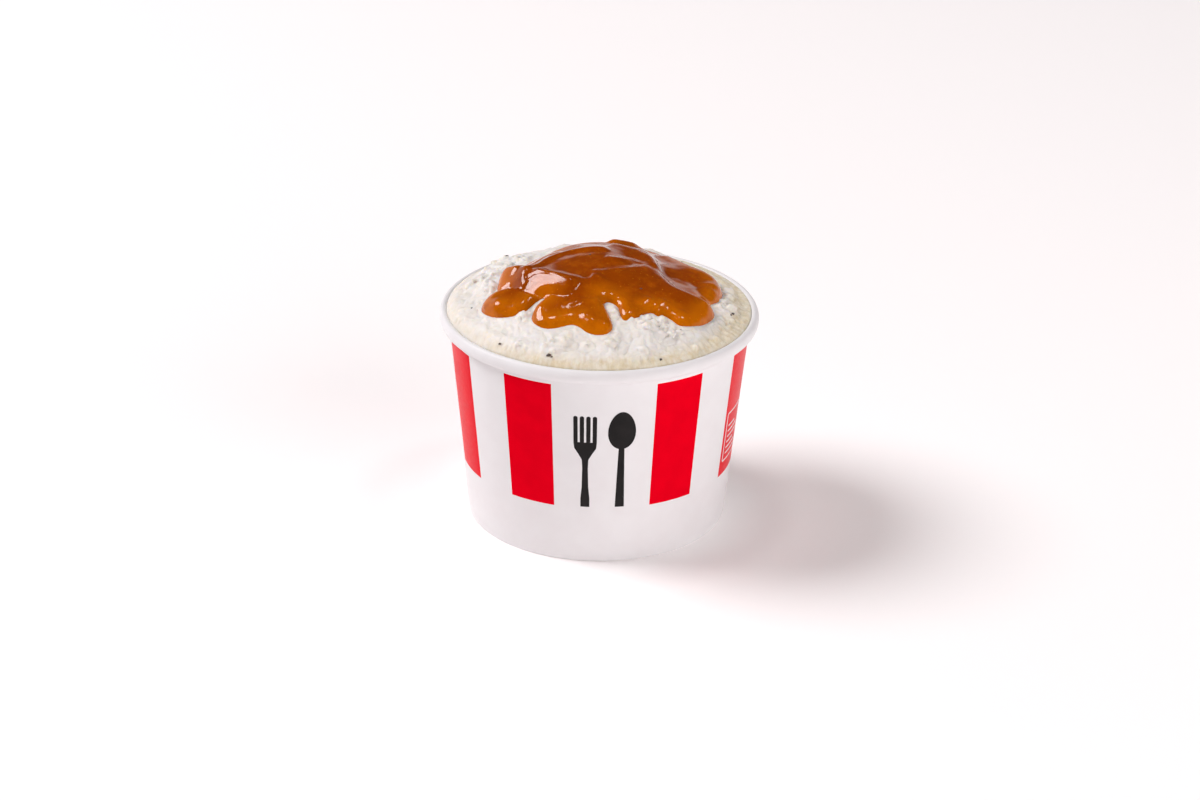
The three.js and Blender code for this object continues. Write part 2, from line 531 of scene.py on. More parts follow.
def makeForkShape():
    # a handle, a widening neck and four tines
    width, height = emblem["forkFoot"]
    piece = addPlane("forkPrint", 0, (height - emblem["length"]) / 2, width, height)
    for rise, factor in emblem["forkSteps"]:
        growTop(piece, rise, factor)
    top = max(vertex.co.y for vertex in piece.data.vertices) / mm
    half = max(vertex.co.x for vertex in piece.data.vertices) / mm
    tineWidth = 2 * half / emblem["tineShare"]
    middle = top + emblem["tineLength"] / 2 - emblem["overlap"]
    tines = []
    for index in range(emblem["tines"]):
        centreX = -half + tineWidth / 2 + index * (2 * half - tineWidth) / (emblem["tines"] - 1)
        tine = addPlane("tine", centreX, middle, tineWidth, emblem["tineLength"])
        editAll(tine)
        selectVertices(tine, lambda vertex: vertex.co.y > middle * mm)
        bpy.ops.mesh.bevel(offset=tineWidth * emblem["tineRound"] * mm, segments=5, affect="VERTICES")
        bpy.ops.object.mode_set(mode="OBJECT")
        tines.append(tine)
    joinInto(piece, tines)
    return piece


def makeSpoonShape():
    # an oval bowl with its foot drawn down into the handle
    bpy.ops.mesh.primitive_circle_add(vertices=48, radius=1, fill_type="NGON")
    piece = added("spoonPrint")
    bowlHalf, bowlTall = emblem["bowl"]
    bowlY = emblem["length"] / 2 - bowlTall
    places = []
    for vertex in piece.data.vertices:
        across, up = vertex.co.x, vertex.co.y
        narrowed = across * bowlHalf * (1 - emblem["bowlNarrowing"] * up)
        places.append((narrowed * mm, (bowlY + up * bowlTall) * mm, 0))
    setPlaces(piece, places)
    foot = -emblem["length"] / 2
    neckTop = bowlY - bowlTall + emblem["neckOverlap"]
    handle = addPlane("handle", 0, (foot + neckTop) / 2, emblem["handleWidth"], neckTop - foot)
    editAll(handle)
    selectVertices(handle, lambda vertex: vertex.co.y < (foot + 1) * mm)
    bpy.ops.transform.resize(value=(emblem["handleWidening"], 1, 1), center_override=(0, 0, 0))
    bpy.ops.object.mode_set(mode="OBJECT")
    joinInto(piece, [handle])
    return piece


def makeEmblem():
    fork = makeForkShape()
    spoon = makeSpoonShape()
    for piece, side in ((fork, -1), (spoon, 1)):
        shift = Vector((side * emblem["spread"] * mm, 0, 0))
        setPlaces(piece, [vertex.co + shift for vertex in piece.data.vertices])
        printOnWall(piece, printBlack, emblem["azimuth"], emblem["centre"])


def makeSidePanel():
    panel = addPlane("panelFrame", 0, 0, sidePanel["width"], sidePanel["height"])
    editAll(panel)
    bpy.ops.mesh.bevel(offset=sidePanel["corner"] * mm, segments=4, affect="VERTICES")
    bpy.ops.mesh.select_mode(type="FACE")
    bpy.ops.mesh.select_all(action="SELECT")
    bpy.ops.mesh.inset(thickness=sidePanel["line"] * mm)
    bpy.ops.mesh.delete(type="FACE")
    bpy.ops.object.mode_set(mode="OBJECT")
    dashes = []
    longest = max(sidePanel["dashes"])
    for row, width in enumerate(sidePanel["dashes"]):
        up = sidePanel["dashTop"] - row * sidePanel["dashPitch"]
        dashes.append(addPlane("dash", (width - longest) / 2, up, width, sidePanel["dashHeight"]))
    joinInto(panel, dashes)
    printOnWall(panel, boardWhite, sidePanel["azimuth"], sidePanel["centre"])


makeEmblem()
makeSidePanel()
print("print wrapped on the wall")


# mash: a mound with a soft shoulder just inside the rim, slumped on its right and at its left rear

mound = {
    "fillRadius": coneRadius(rollMiddle, pot["paper"]) + 0.7,    # it meets the rim's roll near its top
    "fillHeight": 66.8,
    "shoulderRise": 4.2,
    "shoulderWidth": 5.1,
    "sideDepth": 8.0,          # its side first goes down this far, leaning in to stay inside the wall
    "sideClear": 0.9,
    "lowerClear": 0.3,
    "lowerRows": (62.0, 40.0),
    "shoulderCurve": 2.4,
    "slumps": ((105, 0.85, 2), (-132, 0.5, 7)),    # azimuth, share of the shoulder's rise, narrowness
    "slumpReach": 20,          # the slumps fade out this close to the middle
    "domeRise": 11.0,
    "domeRadius": 43.3,
    "domeCentre": (1.0, 1.4),
    # lumps and hollows: x, y, height, spread
    "lumps": (
        (-27, 24, 1.4, 6), (-33, 8, 1.2, 6), (22, 20, -2.1, 12),
        (12, -32, 0.8, 5), (26, -28, 0.8, 5), (-22, -32, 0.6, 7),
    ),
}

mashLook = {
    "gridCells": 150,
    "voxel": 0.372,
    "shadeBandTop": 71.5,           # below this height the mash is painted with a warm shade
    "capFloor": 62.5,          # the worked cap ends here, and plain sides go on down
    "melt": 2,
    # where torn flakes lie: x, y, half sizes, how many
    "crags": (
        (-31, 9, 6, 14, 80), (-27, 19, 3, 5, 22), (15, -29, 9, 4, 60), (2.6, -26.5, 1, 3, 24),
        (-22.5, -25, 1.5, 2.5, 16), (-14, -38, 16, 3, 16), (38, -8, 4, 18, 30),
    ),
    "cragSpread": 1.6,             # a crag's half sizes are this many deviations of its flakes
    "flakeWide": (0.8, 2.3),       # millimetres, then two shares of that
    "flakeDeep": (0.5, 0.95),
    "flakeTall": (0.35, 0.7),
    "flakeTilt": (-0.8, 0.8),
    "flakeSunk": (0.1, 0.8),       # share of its height below the mound
    "flakeKnobs": 0.4,
    "flakeKnobScale": 1.5,
    "clearOfGravy": 0.4,           # share of a flake's width that may reach the gravy's edge
    "clearOfRim": 2.5,
    "lumpScale": 7.0,
    "lumpHeight": 0.8,
    "creaseScale": 4.2,
    "creaseDepth": 0.32,
    "creaseWidth": 0.16,
    "pillowScale": 2.4,
    "pillowHeight": 0.2,
    "fineScale": 1.2,
    "fineHeight": 0.12,
    "grainScale": 0.7,
    "grainHeight": 0.07,
    "streakHeight": 0.3,
    "streaksRound": 42,
    "streakLength": 9,
    "smearFrom": 41,               # from this radius out, over this far, the mash is smeared
    "smearOver": 4,
    "smearedLumps": 0.6,           # how much of the lumps and pillows the smearing takes off
    "smearedPillows": 0.8,
    "calmNearRim": 1.5,
    "calmNearGravy": (0.2, 1.5),   # its roughness grows over these distances out from the gravy
    "pale": ((0.81, 0.785, 0.755), (0.77, 0.73, 0.67)),
    # the two colours of the painted warm shade low against the pot, mixed in upright streaks
    "streakedShade": ((0.68, 0.58, 0.395), (0.84, 0.79, 0.68)),
    "fleck": (0.80, 0.71, 0.52),
}


def roundedEdge(inset, width):
    return math.sqrt(1 - (1 - clamp(inset / width)) ** 2)


def softEdge(inset, width):
    return 1 - (1 - clamp(inset / width)) ** mound["shoulderCurve"]


def moundHeight(x, y):
    radius = math.hypot(x, y)
    slumped = 0.0
    for azimuth, share, narrowness in mound["slumps"]:
        turn = math.atan2(x, -y) - math.radians(azimuth)
        slumped += share * ((1 + math.cos(turn)) / 2) ** narrowness
    slumped *= smoothStep(radius / mound["slumpReach"])
    inset = mound["fillRadius"] - radius
    edge = softEdge(inset, mound["shoulderWidth"])
    shoulder = mound["shoulderRise"] * (1 - slumped) * edge
    fromCentre = math.hypot(x - mound["domeCentre"][0], y - mound["domeCentre"][1])
    dome = mound["domeRise"] * max(0.0, 1 - (fromCentre / mound["domeRadius"]) ** 2)
    height = mound["fillHeight"] + shoulder + dome * edge
    for lumpX, lumpY, rise, spread in mound["lumps"]:
        height += rise * edge * math.exp(-((x - lumpX) ** 2 + (y - lumpY) ** 2) / spread ** 2)
    return height


def discPlace(u, v):
    # a square of even cells pressed into a disc of nearly even cells
    return u * math.sqrt(1 - v * v / 2), v * math.sqrt(1 - u * u / 2)


# gravy: a pool with tongues and bays, and the folds it made as it ran

gravy = {
    "thickness": 2.2,
    "edgeWidth": 3.2,
    "sink": 0.15,              # how far below the mash's surface its thickness starts
    "cell": 0.3,
    "skirt": 1.3,              # it runs on this far past its edge, down inside the mash
    "under": 4.0,              # and its underside lies this far under its top
    "easing": 4,
    "taper": 3.5,              # its ridges rise and die out over this length
    # the edge as it lies in plan, from the slit by the left finger round the back to the front
    "edge": (
        (-17.6, -18.4), (-20.2, -19.8), (-22.8, -22.4), (-26, -23.2), (-29.4, -22.4), (-33, -20),
        (-35.6, -16.4), (-36, -13.2), (-34.4, -10.2), (-31.6, -8.0), (-31.2, -4.5), (-30.6, -0.6),
        (-28.6, 2.6), (-25.2, 5.6), (-21.6, 8.6), (-18, 12.5), (-14.5, 17.5), (-9.5, 22), (-3, 24.5),
        (5, 26), (12, 27.5), (18, 28), (23, 26), (27, 21.5), (30.8, 16.2), (34.6, 12.2), (37, 8.6),
        (37.8, 3), (37, -3.2), (35.4, -7.2), (33.2, -10.6), (33.8, -13.4), (34, -16.4), (32.6, -20),
        (29.6, -24.2), (25.8, -27.2), (22.6, -27.8), (20.6, -26), (18.6, -24.9), (16.6, -26), (15, -24.6),
        (13.2, -25.4), (11, -27.6), (8.4, -29.5), (6.2, -29.8), (5, -27.6), (4.4, -24.4), (2.8, -22.6),
        (0.8, -22.6), (0.5, -24.6), (1.6, -28), (2.4, -31), (2.4, -33.6), (0.6, -35.4), (-2.2, -35.8),
        (-4.8, -34.9), (-7, -32.8), (-9.4, -31.5), (-12.2, -31.9), (-15, -32.3), (-18, -31.6),
        (-20.2, -29.6), (-21.2, -27), (-20.6, -24.2), (-19.2, -22.2), (-17.4, -20.6),
    ),
    "thinnest": 0.7,
    # ridges and grooves: run, rise, half width on its left, half width on its right
    "ridges": (
        (((2, 17), (7, 15.5), (12, 12.5), (15.5, 8.5), (17, 3.5), (17.4, -1)), 1.2, 1.5, 5.0),
        # left finger
        (((-38.5, -15.5), (-35, -14), (-32, -13.4), (-27.5, -13.2), (-24.5, -15.2), (-21.5, -18.2),
          (-18.5, -20)), 0.5, 3.0, 5.5),
        # left fold
        (((-24.4, -15), (-24, -11.5), (-23.6, -8.6), (-21.8, -5.6), (-18.9, -1.8), (-16.2, 2), (-13.3, 5),
          (-10, 6.6), (-5.6, 7.0), (-1, 6.6), (4, 5)), 1.1, 2.4, 1.6),
        (((-28, -6.5), (-26, -4), (-22.5, -0.5), (-18.8, 3.4), (-15.5, 7.6), (-10, 11)), 0.7, 2.0, 1.2),
        # middle fold
        (((-20.8, -7), (-18.9, -9.4), (-15.2, -12.5), (-11.4, -14.6), (-7.7, -16.2), (-4.6, -16.2),
          (-1.9, -14.8), (0.2, -12)), 0.9, 1.9, 4.0),
        (((-4.5, -10.8), (-2.8, -10.9), (0.2, -11.2), (5, -9), (9.9, -6), (14.3, -0.6), (15.5, 2)),
         0.9, 1.9, 5.0),
        # top fold
        (((0, -1.4), (1.5, -2), (3.7, -2), (5.8, -1.3), (7.9, 0.2), (9.5, 2.6), (10, 5)), 0.8, 1.8, 2.2),
        # right ridge
        (((14, 22), (16, 11.5), (16.6, 3.6), (17.4, -2.5), (18.8, -7.3), (20.9, -11.3), (23.5, -12.8),
          (26.6, -13.8), (30, -15), (35, -17.3)), 1.2, 2.0, 6.5),
        # crease over the finger
        (((-35, -7.5), (-31.4, -8.6), (-27, -10.4), (-24, -13.6), (-20.6, -17.1), (-16.6, -18.4),
          (-12.5, -21), (-9, -22.5)), -1.5, 1.1, 1.1),
        # front left lobe
        (((-22, -27), (-20, -23.8), (-17, -21.6), (-13, -22), (-9.5, -23.5)), 1.0, 1.4, 5.0),
        (((-13, -27), (-10.5, -25.6), (-6.5, -24.6), (-4, -24.6)), 0.6, 1.2, 1.2),
        (((-4, -36), (-2.5, -29), (-1.5, -22)), 0.7, 3.5, 3.0),
        # crest
        (((2, 24), (6, 25), (10, 25), (14, 23)), 1.5, 4.0, 4.0),
        # right lobe's far side, and the gully in it
        (((20, 25), (28, 15.5), (33, 10.5), (36, 4), (36, -3)), 0.9, 3, 5),
        (((28.6, 4), (29, 0), (29.8, -4.5), (31, -8.5), (32, -12)), -0.5, 1.8, 1.8),
        # ripples below the left fold
        (((-23.2, -15.6), (-22.9, -13.4), (-21.2, -12.5), (-19.2, -13.2), (-16.6, -14.8), (-14.2, -17.4)),
         -0.17, 0.5, 0.5),
        (((-21.6, -17), (-21, -15.4), (-20, -14.6), (-18.4, -15), (-16.4, -16), (-14.8, -18)),
         -0.17, 0.5, 0.5),
        (((-24.4, -14), (-23.6, -11.6), (-20.6, -10.9), (-17.6, -12.1), (-15, -14.2), (-12.6, -17)),
         -0.17, 0.5, 0.5),
    ),
    # scarps: run, rise on its left, half width of the slope, how far the raised side reaches
    "scarps": (
        (((-35, 1), (-31, -2.6), (-27, -6), (-22.8, -9.6), (-19.3, -12.9), (-15.9, -15.6), (-11.8, -19),
          (-8.5, -21.5)), 2.7, 2.3, 6.0),
    ),
    # small swellings and hollows: x, y, rise, half width
    "swellings": (
        (3.4, -21.2, 0.35, 1.2), (13.6, -21.8, 0.6, 1.8), (18.4, -21.2, 0.6, 1.5), (23.8, -24, 0.35, 1.2),
        (29.5, -23.8, 0.45, 1.4), (0.5, -34.4, 0.3, 1), (-5.5, -30.5, 0.3, 1.2), (33.4, -3.2, 0.6, 3.2),
        (24, -1, -1.6, 8), (11, 3, -0.8, 6), (-32, -19, 1.3, 3.2), (-26.5, 0, 0.7, 3), (-24, 3, -0.9, 5),
    ),
    "waveScale": 8.0,
    "wave": 0.2,
    "rippleScale": 2.6,
    "ripple": 0.05,
    "golden": (0.585, 0.149, 0.0003),
    "brown": (0.305, 0.052, 0.0002),
    "swirl": (0.22, 0.036, 0.0003),
    "glow": (0.56, 0.13, 0.001),
    "fat": (0.80, 0.28, 0.02),
}


def smoothRun(points, closed=False, pieces=12):
    # short stretches of a smooth curve through the points
    last = len(points) - 1
    run = []
    for index in range(len(points) if closed else last):
        near = [index - 1, index, index + 1, index + 2]
        near = [step % len(points) if closed else max(0, min(last, step)) for step in near]
        before, start, end, after = (Vector(points[step]) for step in near)
        for piece in range(pieces):
            t = piece / pieces
            place = 2 * start + (end - before) * t + (2 * before - 5 * start + 4 * end - after) * t ** 2
            run.append((place + (3 * start - before - 3 * end + after) * t ** 3) / 2)
    return run if closed else run + [Vector(points[-1])]


def treeOf(run):
    tree = kdtree.KDTree(len(run))
    for index, place in enumerate(run):
        tree.insert((place.x, place.y, 0), index)
    tree.balance()
    return tree


def readyRun(points):
    # the curve with its directions, and a fade that is 0 at its ends
    run = smoothRun(points)
    last = len(run) - 1
    along = [0.0]
    for start, end in zip(run, run[1:]):
        along.append(along[-1] + (end - start).length)
    fades = [smoothStep(min(far, along[-1] - far) / gravy["taper"]) for far in along]
    ways = [(run[min(last, index + 1)] - run[max(0, index - 1)]).normalized() for index in range(last + 1)]
    return {"run": run, "tree": treeOf(run), "fades": fades, "ways": ways}


def beside(ready, x, y):
    # distance from the run, to its left above 0 and to its right below, and the fade there
    index, distance = ready["tree"].find((x, y, 0))[1:]
    place, way = ready["run"][index], ready["ways"][index]
    onLeft = way.x * (y - place.y) - way.y * (x - place.x) > 0
    return distance if onLeft else -distance, ready["fades"][index]


gravyEdge = smoothRun(gravy["edge"], closed=True)
gravyEdgeTree = treeOf(gravyEdge)
gravyPlan = [(place.x, place.y, 0) for place in gravyEdge]
gravyArea = BVHTree.FromPolygons(gravyPlan, [tuple(range(len(gravyPlan)))])
readyRidges = [(readyRun(points), *rest) for points, *rest in gravy["ridges"]]
readyScarps = [(readyRun(points), *rest) for points, *rest in gravy["scarps"]]


def insideEdge(x, y):
    # how far inside the gravy's edge a place lies, and below 0 outside it
    distance = gravyEdgeTree.find((x, y, 0))[2]
    covered = gravyArea.ray_cast((x, y, 1), (0, 0, -1))[0] is not None
    return distance if covered else -distance


def gravyRelief(x, y):
    relief = 0.0
    for ready, rise, leftHalf, rightHalf in readyRidges:
        away, fade = beside(ready, x, y)
        relief += rise * fade * math.exp(-(away / (leftHalf if away > 0 else rightHalf)) ** 2)
    for ready, rise, slope, reach in readyScarps:
        away, fade = beside(ready, x, y)
        relief += rise * fade * clamp((away / slope + 1) / 2) * math.exp(-(max(0.0, away) / reach) ** 2)
    for swellX, swellY, rise, half in gravy["swellings"]:
        relief += rise * math.exp(-((x - swellX) ** 2 + (y - swellY) ** 2) / half ** 2)
    place = Vector((x, y, 0))
    relief += gravy["wave"] * noise.noise(place / gravy["waveScale"])
    relief += gravy["ripple"] * noise.noise(place / gravy["rippleScale"])
    return relief


def gravyRise(x, y, inset):
    # its thickness over the mash, and outside its edge the slope that takes it down into the mash
    if inset < 0:
        return inset
    thickness = max(gravy["thinnest"], gravy["thickness"] + gravyRelief(x, y))
    return thickness * roundedEdge(inset, gravy["edgeWidth"])


def foodMaterialMash():
    material, shader = newMaterial("mashPotato")
    place = objectPlace(material)
    apart = addNode(material, "ShaderNodeSeparateXYZ")
    connect(material, place, apart.inputs[0])
    patches = noiseOn(material, place, 90, 3.0, 0.6)
    colour = mixColours(material, remap(material, patches, 0.35, 0.7), *mashLook["pale"])
    # low down against the pot, where the mash is smeared and streaked upright, its colour turns to a painted
    # warm shade, darker and warmer, in upright streaks
    upright = addNode(material, "ShaderNodeMapping")
    upright.inputs["Scale"].default_value = (1, 1, 0.12)
    connect(material, place, upright.inputs["Vector"])
    streaks = noiseOn(material, upright.outputs[0], 640, 4.0, 0.65)
    paintedShade = mixColours(material, remap(material, streaks, 0.3, 0.7), *mashLook["streakedShade"])
    height = math2(material, "ADD", apart.outputs[2], math2(material, "MULTIPLY", patches, 2 * mm))
    low = remap(material, height, mashLook["shadeBandTop"] * mm, (mashLook["shadeBandTop"] - 2) * mm)
    # and the painted shade is weaker on the left, where the key lamp falls
    shadeTowardsRight = remap(material, apart.outputs[0], -40 * mm, -20 * mm, 0.35, 1.0)
    low = math2(material, "MULTIPLY", low, shadeTowardsRight)
    colour = mixColours(material, low, colour, paintedShade)
    flecks = remap(material, noiseOn(material, place, 420, 2.0, 0.5), 0.62, 0.72)
    colour = mixColours(material, math2(material, "MULTIPLY", flecks, 0.4), colour, mashLook["fleck"])
    connect(material, colour, shader.inputs["Base Color"])
    shader.inputs["Subsurface Weight"].default_value = 0.6
    shader.inputs["Subsurface Radius"].default_value = (1.0, 0.8, 0.55)
    shader.inputs["Subsurface Scale"].default_value = 1.5 * mm
    shader.inputs["Roughness"].default_value = 0.5
    shader.inputs["Specular IOR Level"].default_value = 0.35
    grain = noiseOn(material, place, 1100, 5.0, 0.65)
    soft = noiseOn(material, place, 450, 3.0, 0.55)
    bumpFrom(material, shader, math2(material, "ADD", grain, soft), 0.4, 0.2 * mm)
    return material


def foodMaterialGravy():
    material, shader = newMaterial("gravySauce")
    place = objectPlace(material)
    # golden along its edges and in its lobes, browner towards the middle
    inward = addNode(material, "ShaderNodeAttribute", attribute_name="inward").outputs["Fac"]
    colour = mixColours(material, remap(material, inward, 0.5, 7.5), gravy["golden"], gravy["brown"])
    swirl = noiseOn(material, place, 150, 4.0, 0.6)
    colour = mixColours(material, remap(material, swirl, 0.45, 0.7, 0.0, 0.5), colour, gravy["swirl"])
    glow = noiseOn(material, place, 260, 3.0, 0.6)
    colour = mixColours(material, remap(material, glow, 0.5, 0.75, 0.0, 0.4), colour, gravy["glow"])
    # small drops of fat
    drops = remap(material, noiseOn(material, place, 1500, 1.0, 0.4), 0.71, 0.78, 0.0, 0.5)
    colour = mixColours(material, drops, colour, gravy["fat"])
    connect(material, colour, shader.inputs["Base Color"])
    shader.inputs["Subsurface Weight"].default_value = 0.2
    shader.inputs["Subsurface Radius"].default_value = (1.0, 0.35, 0.05)
    shader.inputs["Subsurface Scale"].default_value = 1.0 * mm
    shader.inputs["Roughness"].default_value = 0.09
    shader.inputs["Specular IOR Level"].default_value = 0.4
    bumpFrom(material, shader, noiseOn(material, place, 420, 3.0), 0.12, 0.1 * mm)
    return material


mashPotato = foodMaterialMash()
gravySauce = foodMaterialGravy()


def makeFlakes():
    # torn flakes of mash: flattened, knobbly pebbles half sunk in the mound
    bpy.ops.mesh.primitive_ico_sphere_add(subdivisions=3, radius=1)
    pattern = added("flakePattern")
    corners = [vertex.co.copy() for vertex in pattern.data.vertices]
    faces = [tuple(face.vertices) for face in pattern.data.polygons]
    places, allFaces = [], []
    for middleX, middleY, halfX, halfY, count in mashLook["crags"]:
        for flake in range(count):
            x = random.gauss(middleX, halfX / mashLook["cragSpread"])
            y = random.gauss(middleY, halfY / mashLook["cragSpread"])
            wide = random.uniform(*mashLook["flakeWide"])
            deep = wide * random.uniform(*mashLook["flakeDeep"])
            tall = wide * random.uniform(*mashLook["flakeTall"])
            size = Vector((wide, deep, tall))
            tilts = [random.uniform(*mashLook["flakeTilt"]) for axis in range(2)]
            turn = Euler((*tilts, random.uniform(0, math.tau)))
            seed = Vector((random.uniform(0, 50), 0, 0))
            sunk = random.uniform(*mashLook["flakeSunk"])
            onGravy = insideEdge(x, y) > -mashLook["clearOfGravy"] * wide
            if onGravy or math.hypot(x, y) > mound["fillRadius"] - mashLook["clearOfRim"]:
                continue
            middle = Vector((x, y, moundHeight(x, y) - size.z * sunk))
            start = len(places)
            for corner in corners:
                swell = 1 + mashLook["flakeKnobs"] * noise.noise(corner * mashLook["flakeKnobScale"] + seed)
                place = turn.to_matrix() @ (corner * size * swell) + middle
                places.append(place * mm)
            allFaces += [tuple(start + corner for corner in face) for face in faces]
    mesh = bpy.data.meshes.new("flakes")
    mesh.from_pydata(places, [], allFaces)
    bpy.data.objects.remove(pattern)
    flakes = bpy.data.objects.new("flakes", mesh)
    bpy.context.collection.objects.link(flakes)
    return flakes


def makeMash():
    cells = mashLook["gridCells"]
    bpy.ops.mesh.primitive_grid_add(x_subdivisions=cells, y_subdivisions=cells, size=2)
    mash = added("mash")
    places = []
    for vertex in mash.data.vertices:
        u, v = discPlace(vertex.co.x, vertex.co.y)
        x, y = u * mound["fillRadius"], v * mound["fillRadius"]
        places.append((x * mm, y * mm, moundHeight(x, y) * mm))
    setPlaces(mash, places)
    editAll(mash)
    bpy.ops.mesh.region_to_loop()
    bpy.ops.mesh.extrude_edges_move(TRANSFORM_OT_translate={"value": (0, 0, -mound["sideDepth"] * mm)})
    foot = coneRadius(mound["fillHeight"] - mound["sideDepth"], pot["paper"]) - mound["sideClear"]
    lean = foot / mound["fillRadius"]
    bpy.ops.transform.resize(value=(lean, lean, 1), center_override=(0, 0, 0))
    bpy.ops.mesh.edge_face_add()
    bpy.ops.object.mode_set(mode="OBJECT")
    cleanShell(mash)
    joinInto(mash, [makeFlakes()])
    knit = mash.modifiers.new("knit", "REMESH")
    knit.mode = "VOXEL"
    knit.voxel_size = mashLook["voxel"] * mm
    melt = mash.modifiers.new("melt", "SMOOTH")
    melt.factor = 0.5
    melt.iterations = mashLook["melt"]
    applyAll(mash)
    roughen(mash)
    editAll(mash)
    bpy.ops.mesh.bisect(plane_co=(0, 0, mashLook["capFloor"] * mm), plane_no=(0, 0, 1), clear_inner=True)
    bpy.ops.object.mode_set(mode="OBJECT")
    extendMashDown(mash)
    mash.data.materials.append(mashPotato)
    smoothShade(mash)
    standsFor(mash, "mash", "mash")
    return mash


def roughness(co):
    # how far the mash strays from its smooth mound at a place
    radius = math.hypot(co.x, co.y)
    nearRim = smoothStep((radius - mashLook["smearFrom"]) / mashLook["smearOver"])
    lump = mashLook["lumpHeight"] * noise.fractal(co / mashLook["lumpScale"], 1.0, 2.0, 3)
    valley = abs(noise.noise(co / mashLook["creaseScale"] + Vector((7, 0, 0))))
    crease = mashLook["creaseDepth"] * clamp(1 - valley / mashLook["creaseWidth"]) ** 2
    pillow = mashLook["pillowHeight"] * abs(noise.noise(co / mashLook["pillowScale"])) * 2
    fine = mashLook["fineHeight"] * noise.fractal(co / mashLook["fineScale"], 1.0, 2.0, 2)
    grain = mashLook["grainHeight"] * noise.noise(co / mashLook["grainScale"])
    angle = math.atan2(co.x, -co.y)
    around, up = mashLook["streaksRound"], co.z / mashLook["streakLength"]
    streak = noise.noise(Vector((around * math.sin(angle), around * math.cos(angle), up)))
    streak *= mashLook["streakHeight"]
    stray = (lump - crease) * (1 - mashLook["smearedLumps"] * nearRim)
    stray += pillow * (1 - mashLook["smearedPillows"] * nearRim) + fine + grain + streak * nearRim
    inset = insideEdge(co.x, co.y)
    near, far = mashLook["calmNearGravy"]
    calm = smoothStep((-inset - near) / (far - near))
    return stray * calm * smoothStep((mound["fillRadius"] - radius) / mashLook["calmNearRim"])


def roughen(mash):
    directions = [vertex.normal.copy() for vertex in mash.data.vertices]
    places = []
    for vertex, direction in zip(mash.data.vertices, directions):
        co = vertex.co / mm
        if co.z > mashLook["capFloor"]:
            co += direction * roughness(co)
        places.append(co * mm)
    setPlaces(mash, places)


def extendMashDown(mash):
    # the open lower edge goes down the inside of the pot and closes on its floor
    depth = pot["paper"] + mound["lowerClear"]
    editAll(mash)
    selectBoundary()
    for height in (*mound["lowerRows"], mashLow.z / mm):
        bpy.ops.mesh.extrude_edges_move()
        bpy.ops.object.mode_set(mode="OBJECT")
        for vertex in mash.data.vertices:
            if vertex.select:
                radius = math.hypot(vertex.co.x, vertex.co.y)
                scale = coneRadius(height, depth) * mm / radius
                vertex.co = Vector((vertex.co.x * scale, vertex.co.y * scale, height * mm))
        bpy.ops.object.mode_set(mode="EDIT")
    bpy.ops.mesh.edge_face_add()
    bpy.ops.object.mode_set(mode="OBJECT")


heapedMash = makeMash()
print("mash heaped")


def makeGravy():
    xs = [place.x for place in gravyEdge]
    ys = [place.y for place in gravyEdge]
    margin = gravy["skirt"] + gravy["cell"]
    low = (min(xs) - margin, min(ys) - margin)
    high = (max(xs) + margin, max(ys) + margin)
    cells = [math.ceil((far - near) / gravy["cell"]) for near, far in zip(low, high)]
    bpy.ops.mesh.primitive_grid_add(x_subdivisions=cells[0], y_subdivisions=cells[1], size=2)
    pool = added("gravy")
    places, insets, outside = [], [], []
    for vertex in pool.data.vertices:
        x = low[0] + (vertex.co.x + 1) / 2 * (high[0] - low[0])
        y = low[1] + (vertex.co.y + 1) / 2 * (high[1] - low[1])
        inset = insideEdge(x, y)
        rise = gravyRise(x, y, inset) if inset > -gravy["skirt"] else inset
        outside.append(inset < -gravy["skirt"])
        places.append((x * mm, y * mm, (moundHeight(x, y) - gravy["sink"] + rise) * mm))
        insets.append(inset)
    setPlaces(pool, places)
    inward = pool.data.attributes.new("inward", "FLOAT", "POINT")
    inward.data.foreach_set("value", insets)
    editAll(pool)
    selectVertices(pool, lambda vertex: outside[vertex.index])
    bpy.ops.mesh.delete(type="VERT")
    bpy.ops.object.mode_set(mode="OBJECT")
    ease = pool.modifiers.new("ease", "SMOOTH")
    ease.factor = 0.5
    ease.iterations = gravy["easing"]
    applyAll(pool)
    editAll(pool)
    bpy.ops.mesh.extrude_region_move(TRANSFORM_OT_translate={"value": (0, 0, -gravy["under"] * mm)})
    bpy.ops.object.mode_set(mode="OBJECT")
    cleanShell(pool)
    pool.data.materials.append(gravySauce)
    smoothShade(pool)
    standsFor(pool, "gravy", "gravy")
    return pool


pouredGravy = makeGravy()
print("gravy poured")


# pepper: coarse grains on the mash and two under the gravy's skin

pepper = {
    # x, y and half width of each grain
    "onMash": (
        (-30.7, -33, 0.4), (-16.4, -41.9, 0.6), (-15.6, -42.6, 0.3), (16.5, -42.1, 0.4),
        (39.9, -11.4, 0.55), (39.4, -12.9, 0.3), (22.9, -30.4, 0.3), (-39, -11.1, 0.3), (-28, 29, 0.4),
        (4, 38, 0.5), (27, 31, 0.35),
    ),
    "onGravy": ((-3, 1.5, 0.3), (11.7, -16.4, 0.3)),
    "seen": 0.3,               # the share of a grain that stands clear of the food
    "shape": (1.15, 0.9, 0.7),
    "knobs": 0.5,
    "knobScale": 1.3,
    "husk": ((0.02, 0.017, 0.016), (0.14, 0.10, 0.08)),
}


def surfaceOf(food):
    return BVHTree.FromPolygons([vertex.co for vertex in food.data.vertices],
                                [tuple(face.vertices) for face in food.data.polygons])


